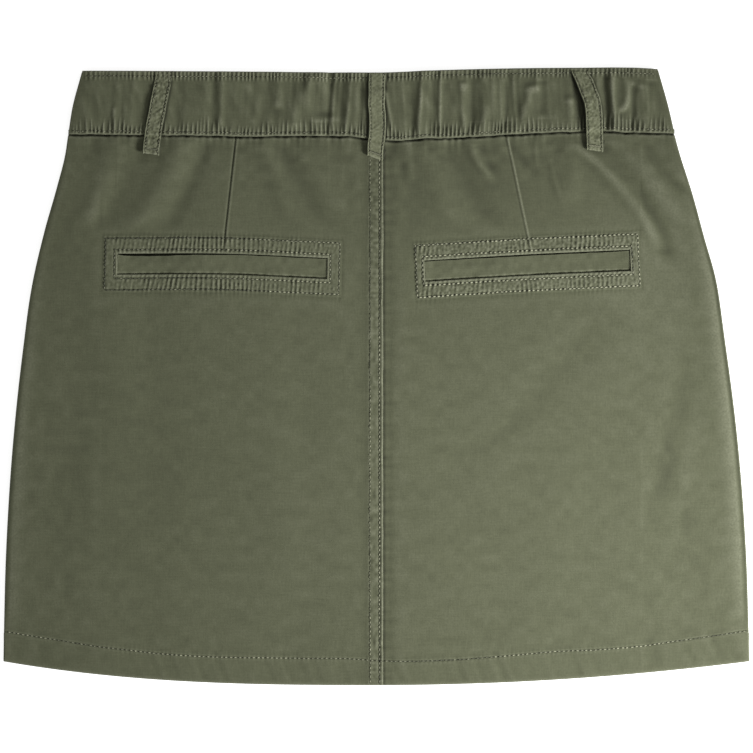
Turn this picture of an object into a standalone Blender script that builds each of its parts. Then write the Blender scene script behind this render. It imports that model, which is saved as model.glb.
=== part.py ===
"""A twill mini skirt with a gathered elastic back waist, laid flat with its back side up.

X runs across the skirt, +Y points to the waist and +Z points up from the surface it lies on.
Lengths here are millimetres; each mesh is made in metres.
"""

import math

import bmesh
import bpy
import numpy as np

MM = 0.001
NAME = "mini_skirt"

# Cloth
CLOTH = 1.0
GAP = 0.3
LAYER = CLOTH + GAP
TWILL = (0.118, 0.128, 0.082)

# Lengths down the back, from the top of the waistband
WAIST_Y = 202.0
BAND_DEPTH = 42.0
HEM_Y = -203.9
LENGTH = WAIST_Y - HEM_Y
HEM_DEPTH = 17.5
HEM_BOW = 15.8
HEM_HALF = 246.4
HEM_BOW_POWER = {"left": 2.7, "right": 2.0}

# Half widths of the flat skirt on each side of its middle, at depths below the waist
OUTLINE = (
    # down, left, right
    (0.0, 194.4, 185.8),
    (25.0, 201.0, 193.0),
    (42.0, 203.6, 197.0),
    (56.0, 205.6, 200.6),
    (80.0, 211.8, 207.8),
    (106.0, 219.5, 214.8),
    (145.0, 227.9, 224.2),
    (190.0, 233.9, 231.0),
    (250.0, 239.9, 238.3),
    (330.0, 244.7, 244.2),
    (406.0, 246.4, 246.4),
)

# How far the top edge and the lower seam of the band stand off their nominal lines
WAIST_LINE = (
    # across, top_rise, seam_rise
    (-200.0, 0.0, 0.0),
    (-149.0, -0.2, -0.4),
    (-89.0, -0.6, -1.6),
    (-10.0, -1.2, -2.3),
    (6.0, -1.2, -4.2),
    (33.0, 0.0, -3.1),
    (85.0, 1.4, -0.6),
    (136.0, 1.9, 1.6),
    (171.0, 1.9, 1.2),
    (197.0, 0.4, 0.4),
)

# Heights of the middle of each wall above the surface below
FRONT_Z = CLOTH / 2
FRONT_TURNED_Z = FRONT_Z + LAYER
BACK_TURNED_Z = FRONT_TURNED_Z + LAYER
BACK_Z = BACK_TURNED_Z + LAYER
BACK_EDGE_Z = FRONT_Z + LAYER
WAIST_DROP = 0.9
WAIST_DROP_REACH = 30.0
SIDE_ROLL = 7.0
FRONT_INSET = 1.2

# Above the hem, the side edges thin from four layers to two between these heights
EDGE_THINS = (60.0, 22.0)

# Waistband: two layers of twill, and the elastic between them at the back
FRONT_BAND = 2.2
BACK_BAND = 2.6
BACK_BAND_Z = FRONT_BAND + GAP + BACK_BAND / 2
BAND_COLUMNS = 120
BAND_ROWS = 4

# Ridges of cloth that the elastic gathers across the band
GATHERS = (
    # across_top, across_foot, height, width
    (-103.0, -100.0, 0.5, 4.0),
    (-66.0, -64.0, 0.5, 3.5),
    (-42.0, -58.0, 0.8, 5.0),
    (-27.0, -27.0, 0.4, 3.0),
    (-17.0, -17.0, 0.4, 3.0),
    (14.0, 11.0, 0.7, 3.0),
    (27.0, 25.0, 0.9, 3.5),
    (42.0, 41.0, 0.9, 3.5),
    (55.0, 57.0, 0.8, 3.5),
    (74.0, 70.0, 0.8, 4.5),
    (104.0, 97.0, 0.8, 4.5),
    (122.0, 119.0, 0.6, 4.0),
    (157.0, 155.0, 0.8, 3.5),
)

# Folds that the gathered waist throws down over the hips, and soft waves lower down
FOLDS = (
    # top_x, top_down, foot_x, foot_down, height, width
    (-131.0, 48.0, -162.0, 102.0, 0.7, 12.0),
    (-112.0, 48.0, -138.0, 100.0, -0.6, 7.0),
    (-74.0, 50.0, -59.0, 92.0, 0.5, 7.0),
    (-62.0, 50.0, -42.0, 90.0, -0.5, 7.0),
    (27.0, 50.0, 42.0, 94.0, 0.6, 11.0),
    (45.0, 50.0, 72.0, 94.0, -0.6, 8.0),
    (142.0, 54.0, 174.0, 110.0, 0.6, 8.0),
    (149.0, 54.0, 186.0, 112.0, -0.5, 5.0),
    (-176.0, 160.0, -182.0, 290.0, 0.4, 18.0),
    (150.0, 170.0, 90.0, 270.0, -0.4, 20.0),
)
FOLD_FADE = 18.0
FOLDS_END = (300.0, 350.0)

# Centre back seam: the left panel's folded edge laps over the right panel
SEAM_X = 4.3
STRIP = 9.9
STRIP_STEP = 2.4
UNDERLAP_X = SEAM_X - STRIP + 1.0
UNDERLAP_ENDS = (34.0, 24.0)
SEAM_MARGIN = 3.0

# A dart on each side, from the band to the pocket, as shares of the half width
DARTS = {
    # top_share, foot_share
    "left": (0.453, 0.459),
    "right": (0.434, 0.466),
}
DART_FOOT = 118.0
DART_DEPTH = 0.5
DART_HALF = 2.6
DART_FADE = 22.0

# Welt pockets: the slit in each back panel and the welt that fills it
POCKETS = {
    # x, y, tilt, width, height
    "left": (-101.8, 72.8, -1.2, 138.3, 13.6),
    "right": (99.6, 73.2, 3.0, 135.6, 13.7),
}
SLIT_REACH = 10.0
WELT_FLANGE = 4.0
WELT_CLEAR = 0.4
WELT_SHOULDER = 1.8
WELT_RISE = 0.9
WELT_RISE_INSET = 1.0

# Belt loops: points down the middle of each, and how far it stands off the band there
LOOP = 1.2
LOOP_WIDTH = 11.4
LOOP_TURNED = 7.0
LOOP_REACH = 4.0
LOOP_BEND = 3.0
LOOPS = {
    # x, y, lift
    "left": (
        (-139.4, 200.8, 0.0),
        (-142.9, 184.0, 1.3),
        (-146.8, 163.0, 0.9),
        (-148.8, 147.4, 0.0),
    ),
    "center": (
        (0.0, 199.9, 0.0),
        (0.0, 184.0, 1.3),
        (0.0, 163.0, 0.9),
        (-1.1, 144.8, 0.0),
    ),
    "right": (
        (134.3, 202.6, 0.0),
        (142.6, 182.0, 1.3),
        (144.4, 162.0, 0.9),
        (145.2, 150.0, 0.0),
    ),
}

# Grid spacing of the panels
ROW_SHARES = (
    0.0, 0.012, 0.032, 0.056, 0.08, 0.105, 0.13, 0.16, 0.19, 0.225, 0.27, 0.32,
    0.375, 0.44, 0.51, 0.58, 0.65, 0.72, 0.79, 0.85, 0.9, 0.95, 1.0,
)
ROLL_STATIONS = (22.0, 10.0, 4.0, 1.2, 0.0)
FRONT_COLUMNS = 12
LEFT_COLUMNS = (6, 1, 1, 5)
RIGHT_COLUMNS = (5, 1, 1, 6)
WELT_COLUMNS = 12
LOOP_ROWS = (6, 1, 2)
TURN_ANGLES = (-60.0, -20.0, 20.0, 60.0)


def clear_scene():
    for item in list(bpy.data.objects):
        bpy.data.objects.remove(item, do_unlink=True)


def new_collection(name, shown):
    collection = bpy.data.collections.new(name)
    collection.hide_render = not shown
    bpy.context.scene.collection.children.link(collection)
    return collection


def twill(name, shade=1.0):
    """A dull woven finish; shade lightens or darkens the dye of one piece."""
    material = bpy.data.materials.new(name)
    material.use_nodes = True
    surface = material.node_tree.nodes["Principled BSDF"]
    surface.inputs["Base Color"].default_value = (*(part * shade for part in TWILL), 1.0)
    surface.inputs["Roughness"].default_value = 0.85
    surface.inputs["Metallic"].default_value = 0.0
    return material


def curve_through(table, column, at):
    """A smooth curve through one column of a table whose first column is the position."""
    places = np.array([row[0] for row in table])
    values = np.array([row[column] for row in table])
    slopes = np.gradient(values, places)
    at = np.clip(at, places[0], places[-1])
    low = np.clip(np.searchsorted(places, at) - 1, 0, len(places) - 2)
    span = places[low + 1] - places[low]
    share = (at - places[low]) / span
    return (
        values[low] * (1 + 2 * share) * (1 - share) ** 2
        + values[low + 1] * (3 - 2 * share) * share**2
        + span * slopes[low] * share * (1 - share) ** 2
        - span * slopes[low + 1] * (1 - share) * share**2
    )


def eased(value, start, end):
    share = np.clip((value - start) / (end - start), 0.0, 1.0)
    return share * share * (3 - 2 * share)


def half_width(down, side):
    return curve_through(OUTLINE, 1 if side == "left" else 2, down)


def top_y(x):
    return WAIST_Y + curve_through(WAIST_LINE, 1, x)


def seam_y(x):
    return WAIST_Y - BAND_DEPTH + curve_through(WAIST_LINE, 2, x)


def hem_y(x):
    """The lowest edge of the skirt, which bows up towards the sides."""
    power = HEM_BOW_POWER["left" if x < 0 else "right"]
    return HEM_Y + HEM_BOW * min(abs(x) / HEM_HALF, 1.0) ** power


def fold_height(x, down):
    """How far the folds lift or sink the back cloth at a point."""
    height = 0.0
    for top_x, top_down, foot_x, foot_down, rise, width in FOLDS:
        run = foot_down - top_down
        share = (down - top_down) / run
        middle = top_x + (foot_x - top_x) * share
        slant = math.hypot(run, foot_x - top_x) / run
        away = (x - middle) / slant / width
        fade = min(down - top_down + FOLD_FADE, foot_down + FOLD_FADE - down) / FOLD_FADE
        height += rise * math.exp(-away * away) * eased(fade, 0.0, 1.0)
    return height


def dart_x(down, side):
    top_share, foot_share = DARTS[side]
    share = top_share + (foot_share - top_share) * eased(down, BAND_DEPTH, DART_FOOT)
    return half_width(down, side) * share * (-1 if side == "left" else 1)


def dart_height(x, down):
    side = "left" if x < 0 else "right"
    away = (x - dart_x(down, side)) / (DART_HALF / 2)
    return -DART_DEPTH * math.exp(-away * away) * (1 - eased(down, DART_FOOT - DART_FADE, DART_FOOT))


def back_height(x, down):
    """Height of the middle of the back panels' cloth, before the seam strip is raised."""
    side = "left" if x < 0 else "right"
    edge = max(half_width(down, side) - abs(x), 0.0)
    roll = 1 - math.exp(-edge / SIDE_ROLL)
    thick = eased(down, LENGTH - EDGE_THINS[0], LENGTH - EDGE_THINS[1])
    side_z = BACK_EDGE_Z + (BACK_Z - BACK_EDGE_Z) * thick
    body_z = BACK_Z - WAIST_DROP * (1 - eased(down, BAND_DEPTH, BAND_DEPTH + WAIST_DROP_REACH))
    relief = (fold_height(x, down) + dart_height(x, down)) * (1 - eased(down, *FOLDS_END))
    return side_z + (body_z + relief - side_z) * roll


def strip_rise(x):
    """The lapped edge of the left panel stands one layer higher."""
    return LAYER * eased(x, SEAM_X - STRIP - STRIP_STEP, SEAM_X - STRIP)


def band_height(x, down):
    """Height of the middle of the gathered back band."""
    height = BACK_BAND_Z
    for top_x, foot_x, rise, width in GATHERS:
        away = (x - top_x - (foot_x - top_x) * down / BAND_DEPTH) / width
        height += rise * math.exp(-away * away)
    return height


def even_steps(knots, counts):
    """Places along a row: each stretch between two knots is cut into its own number of steps."""
    places = [knots[0]]
    for start, end, count in zip(knots, knots[1:], counts):
        places += [start + (end - start) * step / count for step in range(1, count + 1)]
    return places


def build_sheet(name, points, thickness, material, collection):
    """A cloth wall: a grid laid on rows of points, given its thickness on both sides."""
    rows = len(points)
    columns = len(points[0])
    cloth = bmesh.new()
    bmesh.ops.create_grid(cloth, x_segments=columns - 1, y_segments=rows - 1, size=1.0)
    for vertex in cloth.verts:
        column = round((vertex.co.x + 1) / 2 * (columns - 1))
        row = round((vertex.co.y + 1) / 2 * (rows - 1))
        vertex.co = [length * MM for length in points[row][column]]
    mesh = bpy.data.meshes.new(name)
    cloth.to_mesh(mesh)
    cloth.free()
    mesh.shade_smooth()
    mesh.materials.append(material)
    piece = bpy.data.objects.new(name, mesh)
    collection.objects.link(piece)
    wall = piece.modifiers.new("cloth", "SOLIDIFY")
    wall.thickness = thickness * MM
    wall.offset = 0.0
    wall.use_even_offset = True
    return piece


def panel_rows(stations, height, turned_z, inset):
    """Rows of points of a panel, from its turned-up hem edge round the fold and up to the band."""
    rows = []
    top = BAND_DEPTH + GAP
    for kind, value in (
        [("turned", HEM_DEPTH), ("turned", HEM_DEPTH / 2), ("turned", 0.0)]
        + [("round", angle) for angle in TURN_ANGLES]
        + [("panel", share) for share in reversed(ROW_SHARES)]
    ):
        share = value if kind == "panel" else 1.0
        down = top + (LENGTH - top) * share
        row = []
        for x in stations(down):
            upper = height(x, down)
            radius = (upper - turned_z) / 2
            turn_y = hem_y(x) + inset + CLOTH / 2 + abs(radius)
            if kind == "turned":
                point = (x, turn_y + value, turned_z)
            elif kind == "round":
                angle = math.radians(value)
                z = turned_z + radius * (1 + math.sin(angle))
                point = (x, turn_y - abs(radius) * math.cos(angle), z)
            else:
                start = seam_y(x) - GAP
                point = (x, start + (turn_y - start) * value, upper)
            row.append(point)
        rows.append(row)
    return rows


def build_front(collection):
    def stations(down):
        left = -half_width(down, "left") + FRONT_INSET
        right = half_width(down, "right") - FRONT_INSET
        return even_steps((left, right), (FRONT_COLUMNS,))

    def flat(x, down):
        return FRONT_Z

    rows = panel_rows(stations, flat, FRONT_TURNED_Z, FRONT_INSET)
    build_sheet("front_panel", rows, CLOTH, twill("twill_front", 0.95), collection)
    points = []
    for down in (BAND_DEPTH, BAND_DEPTH / 2, FRONT_INSET):
        points.append([
            (x, seam_y(x) + (top_y(x) - seam_y(x)) * (1 - down / BAND_DEPTH), FRONT_BAND / 2)
            for x in stations(down)
        ])
    build_sheet("waistband_front", points, FRONT_BAND, twill("twill_front_band", 0.95), collection)


def build_backs(collection, cutters):
    def left_stations(down):
        outer = -half_width(down, "left")
        dart = dart_x(down, "left")
        strip = SEAM_X - STRIP
        knots = (outer + ROLL_STATIONS[0], dart - DART_HALF, dart, dart + DART_HALF, strip - STRIP_STEP)
        inner = even_steps(knots, LEFT_COLUMNS)
        return [outer + away for away in reversed(ROLL_STATIONS[1:])] + inner + [strip, SEAM_X]

    def right_stations(down):
        outer = half_width(down, "right")
        dart = dart_x(down, "right")
        in_hem = eased(down, LENGTH - UNDERLAP_ENDS[0], LENGTH - UNDERLAP_ENDS[1])
        inner_edge = UNDERLAP_X + (SEAM_X + GAP - UNDERLAP_X) * in_hem
        start = SEAM_X + SEAM_MARGIN
        knots = (start, dart - DART_HALF, dart, dart + DART_HALF, outer - ROLL_STATIONS[0])
        return [inner_edge] + even_steps(knots, RIGHT_COLUMNS) + [outer - away for away in ROLL_STATIONS[1:]]

    def left_height(x, down):
        return back_height(x, down) + strip_rise(x)

    left_rows = panel_rows(left_stations, left_height, BACK_TURNED_Z, 0.0)
    right_rows = panel_rows(right_stations, back_height, BACK_TURNED_Z, 0.0)
    left = build_sheet("back_left", left_rows, CLOTH, twill("twill_back_left"), collection)
    right = build_sheet("back_right", right_rows, CLOTH, twill("twill_back_right", 1.03), collection)
    for side, panel in (("left", left), ("right", right)):
        cut_pocket(side, panel, cutters)
        build_welt(side, collection)


def cut_pocket(side, panel, cutters):
    x, y, tilt, width, height = POCKETS[side]
    bpy.ops.mesh.primitive_cube_add(size=1.0, location=(x * MM, y * MM, BACK_Z * MM))
    cutter = bpy.context.object
    cutter.name = "slit_" + side
    for corner in cutter.data.vertices:
        corner.co = [share * size * MM for share, size in zip(corner.co, (width, height, SLIT_REACH))]
    cutter.rotation_euler.z = math.radians(tilt)
    for holder in list(cutter.users_collection):
        holder.objects.unlink(cutter)
    cutters.objects.link(cutter)
    cutter.hide_render = True
    cutter.display_type = "WIRE"
    cut = panel.modifiers.new("pocket slit", "BOOLEAN")
    cut.operation = "DIFFERENCE"
    cut.solver = "EXACT"
    cut.object = cutter


def build_welt(side, collection):
    """The welt lies under the panel round the slit and rises into it."""
    x, y, tilt, width, height = POCKETS[side]
    angle = math.radians(tilt)

    def ladder(size, count):
        half = size / 2
        inside = half - WELT_CLEAR
        flat = half - WELT_SHOULDER
        outside = half + WELT_FLANGE
        return even_steps((-outside, -inside, -flat, flat, inside, outside), (1, 1, count, 1, 1))

    rows = []
    for across in ladder(height, 1):
        row = []
        for along in ladder(width, WELT_COLUMNS):
            risen = max(abs(across) - height / 2, abs(along) - width / 2) < -WELT_RISE_INSET
            px = x + along * math.cos(angle) - across * math.sin(angle)
            py = y + along * math.sin(angle) + across * math.cos(angle)
            under = back_height(px, WAIST_Y - py) - CLOTH - WELT_CLEAR
            row.append((px, py, under + (WELT_RISE if risen else 0.0)))
        rows.append(row)
    build_sheet("welt_" + side, rows, CLOTH, twill("twill_welt_" + side), collection)


def build_back_band(collection):
    points = []
    for step in range(BAND_ROWS, -1, -1):
        down = BAND_DEPTH * step / BAND_ROWS
        row = []
        for x in even_steps((-half_width(down, "left"), half_width(down, "right")), (BAND_COLUMNS,)):
            y = top_y(x) + (seam_y(x) - top_y(x)) * step / BAND_ROWS
            row.append((x, y, band_height(x, down)))
        points.append(row)
    build_sheet("waistband_back", points, BACK_BAND, twill("twill_band", 0.97), collection)


def ground_under_loop(x, y):
    """The highest cloth under one place on a belt loop, and a little way round it."""
    found = 0.0
    for aside in (-LOOP_WIDTH / 2, -LOOP_WIDTH / 4, 0.0, LOOP_WIDTH / 4, LOOP_WIDTH / 2):
        for along in (-LOOP_REACH, 0.0, LOOP_REACH):
            at_x = x + aside
            at_y = y + along
            if at_y > seam_y(at_x) - GAP:
                found = max(found, band_height(at_x, WAIST_Y - at_y) + BACK_BAND / 2)
            else:
                raised = LAYER if abs(at_x) < STRIP else 0.0
                found = max(found, back_height(at_x, WAIST_Y - at_y) + raised + CLOTH / 2)
    return found


def build_loop(side, collection):
    """A folded strip over the band, with its foot turned under where it is tacked to the panel."""
    path = LOOPS[side]
    reach = [(-y, x, lift) for x, y, lift in path]
    foot_y = path[-1][1]
    foot_top = foot_y + LOOP_TURNED
    places = even_steps((path[0][1], foot_top + LOOP_BEND, foot_top, foot_y), LOOP_ROWS)
    base = ground_under_loop(path[-1][0], foot_y - LOOP_REACH) + GAP + LOOP / 2
    turn = LOOP / 2 + GAP / 2
    middle = []
    for y in places:
        x = curve_through(reach, 1, -y)
        lift = curve_through(reach, 2, -y)
        rest = ground_under_loop(x, y) + GAP + LOOP / 2 + max(lift, 0.0)
        middle.append((x, y, max(rest, base + 2 * turn)))
    foot_x, _, upper = middle[-1]
    for angle in (45.0, 0.0, -45.0):
        away = math.radians(angle)
        middle.append((foot_x, foot_y - turn * math.cos(away), upper - turn * (1 - math.sin(away))))
    middle.append((foot_x, foot_y, upper - 2 * turn))
    middle.append((foot_x, foot_y + LOOP_TURNED, upper - 2 * turn))
    points = []
    for x, y, z in reversed(middle):
        points.append([(x + LOOP_WIDTH * (step / 3 - 0.5), y, z) for step in range(4)])
    build_sheet("loop_" + side, points, LOOP, twill("twill_loop_" + side, 1.05), collection)


def main():
    clear_scene()
    skirt = new_collection(NAME, True)
    cutters = new_collection("cutters", False)
    build_front(skirt)
    build_backs(skirt, cutters)
    build_back_band(skirt)
    for side in LOOPS:
        build_loop(side, skirt)


main()
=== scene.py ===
import math

import bpy
import numpy as np
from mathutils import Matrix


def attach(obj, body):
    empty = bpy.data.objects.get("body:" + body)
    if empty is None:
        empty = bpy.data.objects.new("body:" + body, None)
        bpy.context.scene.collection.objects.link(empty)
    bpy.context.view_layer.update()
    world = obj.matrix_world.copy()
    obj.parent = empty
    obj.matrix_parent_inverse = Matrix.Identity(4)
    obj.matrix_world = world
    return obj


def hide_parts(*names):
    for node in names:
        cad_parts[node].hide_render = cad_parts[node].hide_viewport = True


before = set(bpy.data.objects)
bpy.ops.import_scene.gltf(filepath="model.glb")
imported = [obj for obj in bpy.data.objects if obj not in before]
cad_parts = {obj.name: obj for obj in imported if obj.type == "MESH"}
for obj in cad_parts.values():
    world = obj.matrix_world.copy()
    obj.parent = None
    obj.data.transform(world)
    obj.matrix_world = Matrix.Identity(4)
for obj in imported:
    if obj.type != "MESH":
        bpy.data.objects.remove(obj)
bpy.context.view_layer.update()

# ----------------------------------------------------------
# FRONT PANEL
# One piece of garment-washed olive stretch twill that lies face down on the table. Its sides roll
# up to the side seams and its lower edge is turned up 17 mm and topstitched.
# ----------------------------------------------------------

MM = 0.001
CLOTH = 1.0
GAP = 0.3
LAYER = CLOTH + GAP
WAIST_Y = 202.0
BAND_DEPTH = 42.0
HEM_Y = -203.9
LENGTH = WAIST_Y - HEM_Y
HEM_DEPTH = 17.5
HEM_BOW = 15.8
HEM_HALF = 246.4
HEM_BOW_POWER = (2.7, 2.0)
FRONT_INSET = 1.2
FRONT_TUCK = 2.0
SIDE_RADIUS = 1.3
MEET_Z = 1.05
FRONT_TURNED_TOP = CLOTH + LAYER

OUTLINE = (
    # down, left, right
    (0, 194.4, 185.8),
    (25, 201, 193),
    (42, 203.6, 197),
    (56, 205.6, 200.6),
    (80, 211.8, 207.8),
    (106, 219.5, 214.8),
    (145, 227.9, 224.2),
    (190, 233.9, 231),
    (250, 239.9, 238.3),
    (330, 244.7, 244.2),
    (406, 246.4, 246.4),
)
WAIST_LINE = (
    # across, top_rise, seam_rise
    (-200, 0, 0),
    (-149, -0.2, -0.4),
    (-89, -0.6, -1.6),
    (-10, -1.2, -2.3),
    (6, -1.2, -4.2),
    (33, 0, -3.1),
    (85, 1.4, -0.6),
    (136, 1.9, 1.6),
    (171, 1.9, 1.2),
    (197, 0.4, 0.4),
)


def curve_through(table, column, at):
    """A smooth curve through one column of a table whose first column is the position."""
    places = np.array([row[0] for row in table])
    values = np.array([row[column] for row in table])
    slopes = np.gradient(values, places)
    at = np.clip(at, places[0], places[-1])
    low = np.clip(np.searchsorted(places, at) - 1, 0, len(places) - 2)
    span = places[low + 1] - places[low]
    share = (at - places[low]) / span
    return (
        values[low] * (1 + 2 * share) * (1 - share) ** 2
        + values[low + 1] * (3 - 2 * share) * share**2
        + span * slopes[low] * share * (1 - share) ** 2
        - span * slopes[low + 1] * (1 - share) * share**2
    )


def eased(value, start, end):
    share = np.clip((value - start) / (end - start), 0.0, 1.0)
    return share * share * (3 - 2 * share)


def bump_at(distance, width):
    return np.exp(-np.square(distance / width))


def half_width(down, sign):
    return curve_through(OUTLINE, 1 if sign < 0 else 2, down)


def top_y(x):
    return WAIST_Y + curve_through(WAIST_LINE, 1, x)


def seam_y(x):
    line = WAIST_Y - BAND_DEPTH + curve_through(WAIST_LINE, 2, x) + 0.3 * uneven(x, 8.5, 5)
    return line + 0.16 * uneven(x, 3.2, 6)


def hem_y(x):
    power = np.where(x < 0, HEM_BOW_POWER[0], HEM_BOW_POWER[1])
    return HEM_Y + HEM_BOW * np.minimum(np.abs(x) / HEM_HALF, 1.0) ** power


def uneven(at, pitch, seed):
    """A smooth wandering value from -1 to 1 that changes about once in every pitch."""
    knots = np.random.default_rng(seed).uniform(-1, 1, 4096)
    place = np.asarray(at, float) / pitch + 1024
    low = np.floor(place).astype(int) % 4095
    share = place - np.floor(place)
    share = share * share * (3 - 2 * share)
    return knots[low] * (1 - share) + knots[low + 1] * share


def uneven_cloth(x, y, pitch, seed):
    """The same over a surface, for the faint dents that washed cotton keeps."""
    knots = np.random.default_rng(seed).uniform(-1, 1, (256, 256))
    u = np.asarray(x, float) / pitch + 128
    v = np.asarray(y, float) / pitch + 128
    i, j = np.floor(u).astype(int) % 255, np.floor(v).astype(int) % 255
    s, t = u - np.floor(u), v - np.floor(v)
    s, t = s * s * (3 - 2 * s), t * t * (3 - 2 * t)
    low = knots[i, j] * (1 - s) + knots[i + 1, j] * s
    high = knots[i, j + 1] * (1 - s) + knots[i + 1, j + 1] * s
    return low * (1 - t) + high * t


def even_steps(knots, counts):
    """Places along a line: each stretch between two knots is cut into its own number of steps."""
    parts = [np.linspace(a, b, n, endpoint=False) for a, b, n in zip(knots, knots[1:], counts)]
    return np.concatenate(parts + [np.array([knots[-1]])])


def linked(name, data):
    piece = bpy.data.objects.new(name, data)
    bpy.context.scene.collection.objects.link(piece)
    return piece


def mark_points(mesh, name, values):
    marks = mesh.attributes.new(name, "FLOAT", "POINT")
    marks.data.foreach_set("value", values.astype(np.float32))


def cloth_mesh(name, points, wear_and_painted_shading=None, hole=None, around=False):
    """Cloth on rows of points. A hole leaves out a block; around closes the rows to a strip."""
    rows, columns = points.shape[:2]
    index = np.arange(rows * columns).reshape(rows, columns)
    if around:
        index = np.concatenate([index, index[:, :1]], axis=1)
    corners = np.stack([index[:-1, :-1], index[:-1, 1:], index[1:, 1:], index[1:, :-1]], axis=-1)
    unshadowed = np.ones(corners.shape[:2], bool)
    if hole:
        unshadowed[hole[0]:hole[1], hole[2]:hole[3]] = False
    used, faces = np.unique(corners[unshadowed], return_inverse=True)
    faces = faces.reshape(-1, 4).tolist()
    if around:
        faces += [list(range(columns))[::-1], list(range((rows - 1) * columns, rows * columns))]
    mesh = bpy.data.meshes.new(name)
    mesh.from_pydata((points.reshape(-1, 3)[used] * MM).tolist(), [], faces)
    mesh.shade_smooth()
    # Each point keeps its wear and its painted light and shade for the cloth's colour.
    if wear_and_painted_shading is None:
        wear_and_painted_shading = np.zeros((rows, columns))
    mark_points(mesh, "wear_and_painted_shading", np.clip(wear_and_painted_shading.reshape(-1)[used], -1, 1))
    return linked(name, mesh)


def add_node(tree, kind, values=(), links=(), **settings):
    node = tree.nodes.new("ShaderNode" + kind)
    for name, value in settings.items():
        setattr(node, name, value)
    for socket, value in dict(values).items():
        node.inputs[socket].default_value = value
    for socket, source in dict(links).items():
        tree.links.new(source, node.inputs[socket])
    return node


OLIVE_DARK = (0.057, 0.0615, 0.0345, 1.0)
OLIVE = (0.080, 0.0855, 0.0500, 1.0)
# Lightest olive: reached where washing bleached raised cloth, and where a painted highlight is laid.
OLIVE_WORN_AND_HIGHLIT = (0.172, 0.178, 0.122, 1.0)


def twill(name, tone):
    """Olive stretch twill: fine diagonal ribs, slubs in warp and weft, and a bloom on raised edges that is
    partly washed-out dye and partly painted highlight; sunk places are darkened as painted shade.
    """
    material = bpy.data.materials.new(name)
    material.use_nodes = True
    tree = material.node_tree
    surface = tree.nodes["Principled BSDF"]
    place = add_node(tree, "TexCoord").outputs["Object"]

    def threads(scale, crooked, detail, direction):
        values = {"Scale": scale, "Distortion": crooked, "Detail": 2.0, "Detail Scale": detail}
        waves = add_node(tree, "TexWave", values, {"Vector": place}, bands_direction=direction)
        return waves.outputs["Fac"]

    def noise(scale, detail, at=place, roughness=0.5):
        values = {"Scale": scale, "Detail": detail, "Roughness": roughness}
        return add_node(tree, "TexNoise", values, {"Vector": at}).outputs["Fac"]

    def slubs_along(scale):
        return noise(1.0, 3.0, add_node(tree, "Mapping", {"Scale": scale}, {"Vector": place}).outputs[0])

    def sums(first, second, operation, other=None):
        links = {0: first}
        values = {}
        for at, item in ((1, second), (2, other)):
            if isinstance(item, (int, float)):
                values[at] = item
            elif item is not None:
                links[at] = item
        return add_node(tree, "Math", values, links, operation=operation).outputs[0]

    weave = sums(threads(620.0, 1.2, 0.6, "DIAGONAL"), threads(560.0, 1.5, 0.8, "Y"), "ADD")
    slubs = sums(slubs_along((2600.0, 170.0, 300.0)), slubs_along((150.0, 2300.0, 300.0)), "ADD")
    grain = noise(760.0, 3.0)
    tint = sums(sums(weave, 0.16, "MULTIPLY"), sums(slubs, 0.62, "MULTIPLY"), "ADD")
    tint = sums(noise(45.0, 4.0, roughness=0.6), 0.3, "MULTIPLY_ADD", tint)
    tint = sums(grain, 0.62, "MULTIPLY_ADD", tint)
    depth = add_node(tree, "MapRange", {"From Min": 0.78, "From Max": 1.74}, {"Value": tint})
    dyed = add_node(
        tree, "Mix", {6: OLIVE_DARK, 7: tuple(2 * a - b for a, b in zip(OLIVE, OLIVE_DARK))},
        {0: depth.outputs[0]}, data_type="RGBA",
    )
    # Positive values lighten toward the lightest olive, partly washed-out dye and partly painted highlight;
    # negative values are painted shade.
    wear_and_painted_shading = add_node(tree, "Attribute", attribute_name="wear_and_painted_shading").outputs["Fac"]
    rubbed_and_painted_shading = sums(wear_and_painted_shading, sums(grain, 1.4, "MULTIPLY"), "MULTIPLY")
    faded_and_highlit = add_node(
        tree, "Mix", {7: OLIVE_WORN_AND_HIGHLIT}, {0: rubbed_and_painted_shading, 6: dyed.outputs[2]},
        data_type="RGBA", clamp_factor=True,
    )
    # Negative values darken the colour down to 0.3 of the tone: painted shade in creases, grooves and beside
    # parts.
    to_tone = {"From Min": -1.0, "From Max": 0.0, "To Min": 0.3 * tone, "To Max": tone}
    sunk = add_node(tree, "MapRange", to_tone, {"Value": wear_and_painted_shading}).outputs[0]
    toned = add_node(tree, "VectorMath", {}, {0: faded_and_highlit.outputs[2], "Scale": sunk}, operation="SCALE")
    tree.links.new(toned.outputs[0], surface.inputs["Base Color"])
    rough = add_node(tree, "MapRange", {"To Min": 0.78, "To Max": 0.95}, {"Value": grain})
    tree.links.new(rough.outputs[0], surface.inputs["Roughness"])
    relief = sums(sums(weave, 0.5, "MULTIPLY"), sums(slubs, 0.6, "MULTIPLY"), "ADD")
    relief = sums(relief, sums(grain, 0.5, "MULTIPLY"), "ADD")
    bump = add_node(tree, "Bump", {"Strength": 0.35, "Distance": 0.00012}, {"Height": relief})
    tree.links.new(bump.outputs[0], surface.inputs["Normal"])
    surface.inputs["Specular IOR Level"].default_value = 0.2
    surface.inputs["Sheen Weight"].default_value = 0.12
    surface.inputs["Sheen Roughness"].default_value = 0.5
    surface.inputs["Sheen Tint"].default_value = (0.75, 0.78, 0.62, 1.0)
    return material


def sew(piece, material, nodes=()):
    piece.data.materials.append(material)
    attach(piece, "root")
    if nodes:
        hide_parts(*nodes)
    return piece


ROLL_ANGLES = np.radians((15.0, 30.0, 45.0, 60.0, 75.0, 90.0))
WALL_SHARES = (0.35, 0.7, 1.0)
TURN_ANGLES = np.radians((-90.0, -65.0, -40.0, -15.0, 10.0, 35.0, 60.0, 80.0))


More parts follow.
